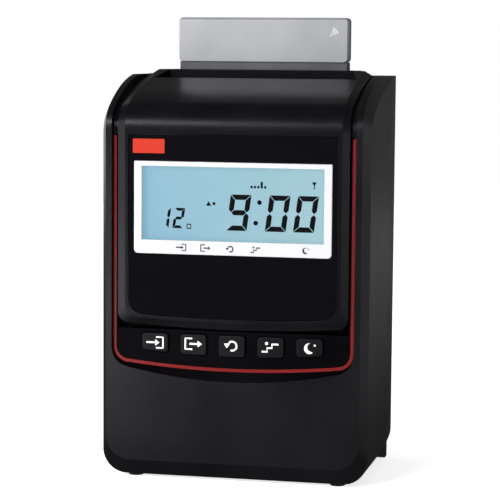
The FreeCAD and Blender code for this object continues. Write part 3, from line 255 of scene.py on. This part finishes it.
finishes = {
    "caseSatin": mouldedPlastic("caseSatin", (0.0038, 0.0036, 0.0048), 0.34, 0.14, gloss=0.42),
    "coverSatin": mouldedPlastic("coverSatin", (0.0036, 0.0034, 0.0046), 0.31, 0.10, gloss=0.24),
    "channelSatin": mouldedPlastic("channelSatin", (0.0014, 0.0010, 0.0017), 0.46, 0.10, gloss=0.05),
    "panelGloss": glossPlastic("panelGloss", (0.0028, 0.0024, 0.0036), 0.06, 0.30),
    "frameWhite": glossPlastic("frameWhite", (0.56, 0.563, 0.585), 0.22, 0.4),
    "badgeRed": glossPlastic("badgeRed", (0.44, 0.028, 0.014), 0.24, 0.4),
    "lineRed": glossPlastic("lineRed", (0.165, 0.009, 0.009), 0.26, 0.35),
    "keyRubber": mouldedPlastic("keyRubber", (0.0036, 0.0034, 0.0044), 0.40, 0.16, gloss=0.30),
    "legendWhite": mouldedPlastic("legendWhite", (0.80, 0.80, 0.80), 0.5, 0.05),
    "markDark": mouldedPlastic("markDark", (0.02, 0.02, 0.025), 0.5, 0.05),
    "lcdDark": mouldedPlastic("lcdDark", (0.0018, 0.0018, 0.0030), 0.5, 0.02, gloss=0.1),
    "litDisplay": litDisplay("litDisplay"),
    "clearWindow": clearWindow("clearWindow"),
    "magnetGrey": brushedMetal("magnetGrey", (0.22, 0.22, 0.23), 0.5),
    "pinSteel": brushedMetal("pinSteel", (0.66, 0.66, 0.68), 0.22, (1400.0, 30.0, 30.0)),
    "plateSteel": brushedMetal("plateSteel", (0.55, 0.56, 0.57), 0.36, (1200.0, 18.0, 18.0)),
    "screwZinc": brushedMetal("screwZinc", (0.58, 0.59, 0.58), 0.28, (600.0, 600.0, 600.0)),
    "bushBrass": brushedMetal("bushBrass", (0.66, 0.48, 0.20), 0.3, (900.0, 60.0, 60.0)),
    "boardGreen": circuitBoard("boardGreen"),
    "innerGrey": mouldedPlastic("innerGrey", (0.045, 0.046, 0.05), 0.5, 0.12),
    "funnelBlack": mouldedPlastic("funnelBlack", (0.012, 0.012, 0.013), 0.45, 0.12),
    "headMetal": brushedMetal("headMetal", (0.30, 0.31, 0.32), 0.42, (200.0, 200.0, 900.0)),
    "motorSteel": brushedMetal("motorSteel", (0.50, 0.50, 0.52), 0.30, (60.0, 60.0, 900.0)),
    "gearWhite": mouldedPlastic("gearWhite", (0.62, 0.60, 0.54), 0.42, 0.06),
    "beltRubber": softRubber("beltRubber", (0.012, 0.012, 0.012)),
    "rollerRubber": softRubber("rollerRubber", (0.02, 0.02, 0.02), 0.65),
    "footRubber": softRubber("footRubber", (0.012, 0.012, 0.012), 0.8),
    "ribbonInk": softRubber("ribbonInk", (0.008, 0.008, 0.02), 0.6),
    "batteryWrap": glossPlastic("batteryWrap", (0.03, 0.20, 0.08), 0.25),
    "coreIron": brushedMetal("coreIron", (0.20, 0.19, 0.18), 0.55, (30.0, 1800.0, 30.0)),
    "inletBlack": mouldedPlastic("inletBlack", (0.010, 0.010, 0.011), 0.35, 0.08),
    "receiverSilver": mouldedPlastic("receiverSilver", (0.42, 0.43, 0.45), 0.40, 0.08, 2600.0,
                                     tone=0.08, metal=0.35),
    "receiverGrey": mouldedPlastic("receiverGrey", (0.085, 0.088, 0.098), 0.42, 0.10),
    "ferriteDark": mouldedPlastic("ferriteDark", (0.03, 0.028, 0.028), 0.5, 0.2),
    "ratingPaper": mouldedPlastic("ratingPaper", (0.42, 0.43, 0.44), 0.5, 0.04),
}

wears = {
    "case_shell": "caseSatin", "rear_cover": "caseSatin", "top_panel": "coverSatin",
    "channel_bezel": "channelSatin", "red_line": "lineRed", "cover_shell": "coverSatin",
    "display_panel": "panelGloss", "display_frame": "frameWhite", "display_window": "clearWindow",
    "badge_plate": "badgeRed", "hinge_pins": "pinSteel", "cover_magnets": "magnetGrey",
    "button_1": "keyRubber", "button_2": "keyRubber", "button_3": "keyRubber",
    "button_4": "keyRubber", "button_5": "keyRubber", "key_board": "boardGreen",
    "display_carrier": "innerGrey", "lcd_panel": "litDisplay", "backlight": "gearWhite",
    "slot_funnel": "funnelBlack", "card_guide_front": "plateSteel",
    "card_guide_rear": "plateSteel", "platen": "rollerRubber", "card_sensor": "innerGrey",
    "side_plate_left": "plateSteel", "side_plate_right": "plateSteel", "base_plate": "plateSteel",
    "rear_cover_screws": "screwZinc", "base_screws": "screwZinc", "guide_rods": "pinSteel",
    "print_carriage": "innerGrey", "print_head": "headMetal", "mechanism_deck": "plateSteel",
    "carriage_motor": "motorSteel", "drive_pulley": "gearWhite", "idler_pulley": "gearWhite",
    "carriage_belt": "beltRubber", "ribbon_cassette": "innerGrey", "ribbon": "ribbonInk",
    "ribbon_knob": "gearWhite", "shaft_bushes": "bushBrass", "feed_shaft": "pinSteel",
    "feed_rollers": "rollerRubber", "pinch_shaft": "pinSteel", "pinch_rollers": "rollerRubber",
    "feed_gear": "gearWhite", "motor_pinion": "gearWhite", "feed_motor": "motorSteel",
    "main_board": "boardGreen", "clock_battery": "batteryWrap", "transformer": "coreIron",
    "power_inlet": "inletBlack", "receiver_front": "receiverSilver",
    "receiver_back": "receiverGrey", "receiver_neck": "receiverGrey",
    "rod_antenna": "ferriteDark", "receiver_board": "boardGreen", "feet": "footRubber",
}
for name, finish in wears.items():
    nodes[name].data.materials.clear()
    nodes[name].data.materials.append(finishes[finish])
print("finishes made:", len(finishes))


def newPiece(name, mesh, finish, body):
    piece = bpy.data.objects.new(name, mesh)
    bpy.context.scene.collection.objects.link(piece)
    mesh.materials.clear()
    mesh.materials.append(finishes[finish])
    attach(piece, body)
    return piece


# joined points in metres, and in degrees what counts as flat, as an outer edge and as a sharp one
meshing = {"weld": 2e-6, "flat": 0.6, "outer": 24.0, "sharp": 32.0, "segments": 3}


def fromBmesh(shape, name):
    mesh = bpy.data.meshes.new(name)
    shape.to_mesh(mesh)
    shape.free()
    mesh.polygons.foreach_set("use_smooth", [True] * len(mesh.polygons))
    mesh.set_sharp_from_angle(angle=math.radians(meshing["sharp"]))
    return mesh


def softened(node, body, width):
    # a copy of a CAD piece whose outer edges are rounded over, as they leave the mould
    shape = bmesh.new()
    shape.from_mesh(nodes[node].data)
    bmesh.ops.remove_doubles(shape, verts=shape.verts, dist=meshing["weld"])
    bmesh.ops.dissolve_limit(shape, angle_limit=math.radians(meshing["flat"]), verts=shape.verts,
                             edges=shape.edges)
    outer = math.radians(meshing["outer"])
    chosen = [edge for edge in shape.edges
              if len(edge.link_faces) == 2 and edge.is_convex and edge.calc_face_angle(0) >= outer]
    bmesh.ops.bevel(shape, geom=chosen, offset=width, segments=meshing["segments"], profile=0.5,
                    affect="EDGES", clamp_overlap=not node.startswith("button"))
    bmesh.ops.recalc_face_normals(shape, faces=shape.faces)
    piece = newPiece(node + "_soft", fromBmesh(shape, node + "_soft"), wears[node], body)
    weighted = piece.modifiers.new("normals", "WEIGHTED_NORMAL")
    weighted.keep_sharp = True
    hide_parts(node)
    print("softened", node, len(chosen), "edges")


def spot(node, fromTop=False, onBack=False):
    # the middle of a piece's width, on its lower or upper edge, in its front or back plane
    low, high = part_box(node)
    return Vector(((low.x + high.x) / 2, (high if onBack else low).y, (high if fromTop else low).z))


def slab(shape, outline, origin, behind, thick):
    # upright flat form of (x, z) points in millimetres from origin, its back so far behind that plane
    back = [shape.verts.new(origin + Vector((x, behind, z)) * mm) for x, z in outline]
    front = [shape.verts.new(origin + Vector((x, behind - thick, z)) * mm) for x, z in outline]
    shape.faces.new(front)
    shape.faces.new(back[::-1])
    for i in range(len(outline)):
        j = (i + 1) % len(outline)
        shape.faces.new((front[i], back[i], back[j], front[j]))


def slabs(name, outlines, origin, look, finish, body):
    # one piece of many flat forms, with the place, thickness and rounding that look gives
    shape = bmesh.new()
    for outline in outlines:
        slab(shape, outline, origin, look["behind"], look["thick"])
    bmesh.ops.recalc_face_normals(shape, faces=shape.faces)
    if "rounding" in look:
        edges = [edge for edge in shape.edges if edge.calc_face_angle(0) > math.radians(40)]
        bmesh.ops.bevel(shape, geom=edges, offset=look["rounding"] * mm, segments=2, profile=0.5,
                        affect="EDGES", clamp_overlap=True)
    newPiece(name, fromBmesh(shape, name), finish, body)


def circle(x, z, r, count=24, start=0.0, turn=360.0):
    # a full turn leaves out its last point, a part of one has both its ends
    steps = count if turn == 360.0 else count + 1
    angles = [math.radians(start + turn * i / count) for i in range(steps)]
    return [(x + r * math.cos(angle), z + r * math.sin(angle)) for angle in angles]


def stroke(points, width):
    # outline of an open line of even width
    left, right = [], []
    for i, (x, z) in enumerate(points):
        before, after = points[max(i - 1, 0)], points[min(i + 1, len(points) - 1)]
        run, rise = after[0] - before[0], after[1] - before[1]
        scale = width / 2 / math.hypot(run, rise)
        left.append((x - rise * scale, z + run * scale))
        right.append((x + rise * scale, z - run * scale))
    return left + right[::-1]


def roundedBox(x0, x1, z0, z1, r):
    corners = [(x1 - r, z0 + r, -90), (x1 - r, z1 - r, 0), (x0 + r, z1 - r, 90), (x0 + r, z0 + r, 180)]
    return [point for x, z, start in corners for point in circle(x, z, r, 5, start, 90)]


# segmented display, in millimetres from the middle of the panel's lower edge; lean is per unit of
# height, gap per unit of line width
lcd = {
    "lean": 0.135, "gap": 0.0786, "behind": -0.01, "thick": 0.06,
    "clock": {"text": "900", "x": (-4.7, 19.3, 36.6), "foot": 8.6, "size": (12.8, 21.9), "line": 3.15},
    "date": {"text": "12", "x": (-47.0, -38.2), "foot": 9.2, "size": (6.4, 12.4), "line": 1.75},
    "colon": ((15.9, 26.0, 1.45), (13.7, 13.5, 1.45)),
    "dateFrame": {"x": (-29.2, -26.4), "z": (8.9, 12.1), "side": 0.5, "rail": 0.6, "corner": 0.1},
    "halfDay": {"arrow": [(-17.2, 23.3), (-13.9, 23.3), (-15.55, 26.2)], "dot": (-12.2, 24.7, 0.95)},
    "weekday": {"x": 10.3, "foot": 34.5, "count": 5, "step": 2.1, "wide": 1.35, "low": 1.5,
                "today": 3, "tall": 4.0, "corner": 0.3},
    "mast": {"pole": [(49.4, 34.6), (49.4, 38.8)], "line": 0.55,
             "fan": [(47.9, 38.9), (50.9, 38.9), (49.4, 36.6)]},
}
segmentsOf = {"0": "abcdef", "1": "bc", "2": "abged", "9": "abcdfg"}


def digit(text, x, z, size, line):
    # leaning segments with mitred ends, a to g as in every seven-segment display; x, z lower left
    (w, h), g, k = size, lcd["gap"] * line, line / 2
    mid, top, inner = h / 2, h - line, w - line
    forms = {
        "a": [(g, h), (w - g, h), (inner - g, top), (line + g, top)],
        "b": [(w, h - g), (w, mid + k + g), (w - k, mid + g), (inner, mid + k + g), (inner, top - g)],
        "c": [(w, mid - k - g), (w, g), (inner, line + g), (inner, mid - k - g), (w - k, mid - g)],
        "d": [(line + g, line), (inner - g, line), (w - g, 0), (g, 0)],
        "e": [(0, mid - k - g), (k, mid - g), (line, mid - k - g), (line, line + g), (0, g)],
        "f": [(0, h - g), (line, top - g), (line, mid + k + g), (k, mid + g), (0, mid + k + g)],
        "g": [(k + g, mid), (line + g, mid + k), (inner - g, mid + k), (w - k - g, mid),
              (inner - g, mid - k), (line + g, mid - k)],
    }
    return [[(x + px + pz * lcd["lean"], z + pz) for px, pz in forms[name]]
            for name in segmentsOf[text]]


def smallMarks():
    # a framed square by the date, the half of the day, the day of the week and a mast
    box, week, mast = lcd["dateFrame"], lcd["weekday"], lcd["mast"]
    (x0, x1), (z0, z1) = box["x"], box["z"]
    side, rail, corner = box["side"], box["rail"], box["corner"]
    marks = [roundedBox(x0, x1, z1 - rail, z1, corner), roundedBox(x0, x1, z0, z0 + rail, corner),
             roundedBox(x0, x0 + side, z0 + rail, z1 - rail, corner),
             roundedBox(x1 - side, x1, z0 + rail, z1 - rail, corner),
             lcd["halfDay"]["arrow"], circle(*lcd["halfDay"]["dot"]),
             stroke(mast["pole"], mast["line"]), mast["fan"]]
    for i in range(week["count"]):
        x, height = week["x"] + i * week["step"], week["tall"] if i == week["today"] else week["low"]
        marks.append(roundedBox(x, x + week["wide"], week["foot"], week["foot"] + height, week["corner"]))
    return marks


def displayFace():
    marks = smallMarks() + [circle(*dot) for dot in lcd["colon"]]
    for number in (lcd["clock"], lcd["date"]):
        for text, x in zip(number["text"], number["x"]):
            marks += digit(text, x, number["foot"], number["size"], number["line"])
    slabs("lcd_marks", marks, spot("lcd_panel"), lcd, "lcdDark", "chassis")


displayFace()
print("display marks made")


# generic signs: come in, go out, come back, leave, night, in units of their height about their middle
signForms = {
    "in": {"lines": [[(0.10, 0.5), (0.75, 0.5), (0.75, -0.5), (0.10, -0.5)], [(-0.85, 0), (0.05, 0)]],
           "areas": [[(0, 0.30), (0.42, 0), (0, -0.30)]]},
    "out": {"lines": [[(-0.10, 0.5), (-0.75, 0.5), (-0.75, -0.5), (-0.10, -0.5)],
                      [(-0.35, 0), (0.45, 0)]],
            "areas": [[(0.42, 0.30), (0.85, 0), (0.42, -0.30)]]},
    "back": {"lines": [circle(0.05, -0.06, 0.42, 14, -110, 245)],
             "areas": [[(-0.72, 0.14), (-0.12, 0.20), (-0.46, -0.28)]]},
    "leave": {"lines": [[(-0.8, -0.45), (-0.3, -0.45), (-0.3, -0.1), (0.15, -0.1), (0.15, 0.25),
                         (0.75, 0.25)]],
              "areas": [circle(-0.35, 0.32, 0.15, 14)]},
    "night": {"lines": [],
              "areas": [circle(0, 0, 0.5, 22, 60, 250) + circle(0.20, 0.10, 0.40, 18, 265, -198),
                        circle(0.48, 0.30, 0.10, 10)]},
}
# place in millimetres below a key's top or above the frame's lower edge, line width per height
keySigns = {"z": -5.8, "height": 6.6, "line": 0.17, "behind": 0.02, "thick": 0.07}
frameSigns = {"x": (-31.4, -16.2, -1.0, 14.8, 45.3), "z": 4.2, "height": 3.9, "line": 0.21,
              "behind": 0.01, "thick": 0.05}


def sign(kind, x, look):
    forms = signForms[kind]
    outlines = [stroke(points, look["line"]) for points in forms["lines"]] + forms["areas"]
    return [[(x + px * look["height"], look["z"] + pz * look["height"]) for px, pz in outline]
            for outline in outlines]


def keyAndFrameSigns():
    for i, kind in enumerate(signForms, 1):
        node = "button_%d" % i
        slabs(node + "_sign", sign(kind, 0, keySigns), spot(node, fromTop=True), keySigns,
              "legendWhite", node + "_body")
    outlines = [form for kind, x in zip(signForms, frameSigns["x"]) for form in sign(kind, x, frameSigns)]
    slabs("frame_signs", outlines, spot("display_frame"), frameSigns, "markDark", "front_cover")


keyAndFrameSigns()
print("key and frame signs made")


# millimetres from the middle of the receiver's upper edge
receiverSign = {"at": (44.2, -11.2), "dot": 0.55, "arcs": (1.8, 3.2, 4.6), "line": 0.7, "behind": 0.01,
                "thick": 0.05}


def radioSign():
    # a dot with three arcs
    x, z = receiverSign["at"]
    arcs = [stroke(circle(x, z, r, 10, 15, 60), receiverSign["line"]) for r in receiverSign["arcs"]]
    slabs("receiver_sign", [circle(x, z, receiverSign["dot"], 14)] + arcs,
          spot("receiver_front", fromTop=True), receiverSign, "legendWhite", "chassis")


radioSign()


# millimetres from the middle of the rear cover's lower edge
plate = {"x": (-34, 34), "z": (42, 68), "corner": 2.0, "behind": 0.18, "thick": 0.2, "rounding": 0.05}


def ratingPlate():
    # blank plate on the back
    outline = roundedBox(*plate["x"], *plate["z"], plate["corner"])
    slabs("rating_plate", [outline], spot("rear_cover", onBack=True), plate, "ratingPaper", "chassis")


ratingPlate()
print("receiver sign and rating plate made")


# body, material slot and radius in millimetres of the edges that leave the mould rounded
softEdges = {
    "display_frame": ("front_cover", "frame_white", 0.45),
    "badge_plate": ("front_cover", "badge_red", 0.12),
    "display_panel": ("front_cover", "panel_gloss", 0.20),
    "red_line": ("chassis", "line_red", 0.15),
    "receiver_front": ("chassis", "receiver_silver", 0.40),
    "receiver_back": ("chassis", "receiver_grey", 0.40),
    "receiver_neck": ("chassis", "receiver_grey", 0.25),
    "power_inlet": ("chassis", "inlet_black", 0.25),
    "feet": ("chassis", "foot_rubber", 0.40),
}
for i in range(1, 6):
    softEdges["button_%d" % i] = ("button_%d_body" % i, "button_grey", 0.60)
for node, (body, slot, radius) in softEdges.items():
    softened(node, body, radius * mm)
print("edges softened")


# metres and watts; the pool is how brightly the floor is mirrored along X, and a softbox with
# mirrored off leaves no highlight
studio = {
    "floorRadius": 2.2, "floorTone": 0.90, "paperGlow": 0.74, "roomLight": 0.058, "backdrop": 1.0,
    "poolRise": {"x": (0.14, 0.62), "light": (0.04, 0.48)},
    "poolFall": {"x": (0.65, 1.0), "light": (1.0, 0.1)},
    "softboxes": {
        "near": {"at": (-0.30, -0.40, 0.03), "aim": (-0.08, 0, 0.05), "size": (0.20, 0.15),
                 "power": 0.55},
        "key": {"at": (-0.55, -0.45, 0.30), "aim": (0, 0, 0.13), "size": (0.35, 0.45), "power": 1.0},
        "low": {"at": (-0.95, -1.20, 0.12), "aim": (0, 0, 0.08), "size": (0.30, 0.25), "power": 0.34},
        "brow": {"at": (-0.70, -1.55, 0.95), "aim": (0, 0, 0.20), "size": (0.50, 0.30), "power": 8.0},
        "edge": {"at": (-1.30, 1.90, 0.12), "aim": (0, 0, 0.10), "size": (0.90, 0.50), "power": 1.7},
        "right": {"at": (0.75, -1.50, 0.05), "aim": (0, 0, 0.13), "size": (0.30, 0.40), "power": 3.0},
        "fill": {"at": (-0.90, -1.60, 0.90), "aim": (0, 0, 0.15), "size": (1.2, 0.8), "power": 26.0,
                 "mirrored": False},
        "overhead": {"at": (0.0, 0.4, 2.6), "aim": (0, 0.4, 0), "size": (6.0, 6.0), "power": 40.0,
                     "mirrored": False},
        "side": {"at": (2.0, 0.55, 0.50), "aim": (0, 0, 0.13), "size": (1.0, 0.8), "power": 4.0},
        "back": {"at": (-1.6, 1.4, 1.2), "aim": (0, 0, 0.13), "size": (1.0, 0.8), "power": 4.0},
        "behind": {"at": (0.3, 2.4, 0.9), "aim": (0, 0, 0.1), "size": (3.0, 1.8), "power": 0.8},
    },
}


def floorPaper():
    # white paper that glows; what the glossy plastic sees of it is dim in front, brighter to the right
    f = Finish("floorPaper")
    grain, tone = f.noise(500.0, 3.0), studio["floorTone"]
    paper = f.principled(Base_Color=f.mix(grain, (tone,) * 3, (tone + 0.02,) * 3), Roughness=0.9,
                         Specular_IOR_Level=0.1, Emission_Color=(1, 1, 1),
                         Emission_Strength=studio["paperGlow"])
    rise, fall = (f.span(f.axis(0), *studio[part]["x"], *studio[part]["light"])
                  for part in ("poolRise", "poolFall"))
    mirrored = f.add("ShaderNodeEmission", inputs={"Strength": rise * fall})
    glossyRay = f.add("ShaderNodeLightPath", out=3)
    return f.surface(f.add("ShaderNodeMixShader", inputs={0: glossyRay, 1: paper, 2: mirrored}))


def stage():
    shape = bmesh.new()
    bmesh.ops.create_circle(shape, cap_ends=True, segments=96, radius=studio["floorRadius"])
    floor = bpy.data.objects.new("floor", fromBmesh(shape, "floor"))
    bpy.context.scene.collection.objects.link(floor)
    floor.data.materials.append(floorPaper())


def room():
    # white to look at, dim as a light
    world = bpy.data.worlds.new("studio")
    world.use_nodes = True
    tree = world.node_tree
    backdrop = tree.nodes["Background"]
    backdrop.inputs["Color"].default_value = (1, 1, 1, 1)
    rays = tree.nodes.new("ShaderNodeLightPath")
    levels = tree.nodes.new("ShaderNodeMapRange")
    levels.inputs["To Min"].default_value = studio["roomLight"]
    levels.inputs["To Max"].default_value = studio["backdrop"]
    tree.links.new(rays.outputs["Is Camera Ray"], levels.inputs["Value"])
    tree.links.new(levels.outputs["Result"], backdrop.inputs["Strength"])
    bpy.context.scene.world = world
    bpy.context.scene.view_settings.view_transform = "Standard"


def softboxes():
    for name, box in studio["softboxes"].items():
        lamp = bpy.data.lights.new(name, "AREA")
        lamp.shape = "RECTANGLE"
        lamp.size, lamp.size_y = box["size"]
        lamp.energy = box["power"]
        holder = bpy.data.objects.new(name, lamp)
        holder.location = box["at"]
        aim = Vector(box["aim"]) - Vector(box["at"])
        holder.rotation_euler = aim.to_track_quat("-Z", "Y").to_euler()
        holder.visible_camera = False
        holder.visible_glossy = box.get("mirrored", True)
        bpy.context.scene.collection.objects.link(holder)


stage()
room()
softboxes()
print("stage and light set")

# angles in degrees, lens and sensor in millimetres, place in metres
view = {"yaw": 12.553, "pitch": 5.728, "roll": 0.453, "lens": 141.9, "sensor": 36.0,
        "at": (0.267498, -1.208127, 0.262269)}


def camera():
    yaw, pitch, roll = (math.radians(view[key]) for key in ("yaw", "pitch", "roll"))
    ahead = Vector((-math.sin(yaw) * math.cos(pitch), math.cos(yaw) * math.cos(pitch),
                    -math.sin(pitch)))
    right = Vector((math.cos(yaw), math.sin(yaw), 0))
    up = right.cross(ahead)
    side = right * math.cos(roll) + up * math.sin(roll)
    top = up * math.cos(roll) - right * math.sin(roll)
    lens = bpy.data.cameras.new("camera")
    lens.lens, lens.sensor_width = view["lens"], view["sensor"]
    holder = bpy.data.objects.new("camera", lens)
    turn = Matrix((side, top, -ahead)).transposed().to_4x4()
    holder.matrix_world = Matrix.Translation(view["at"]) @ turn
    bpy.context.scene.collection.objects.link(holder)
    bpy.context.scene.camera = holder


camera()
print("camera set")
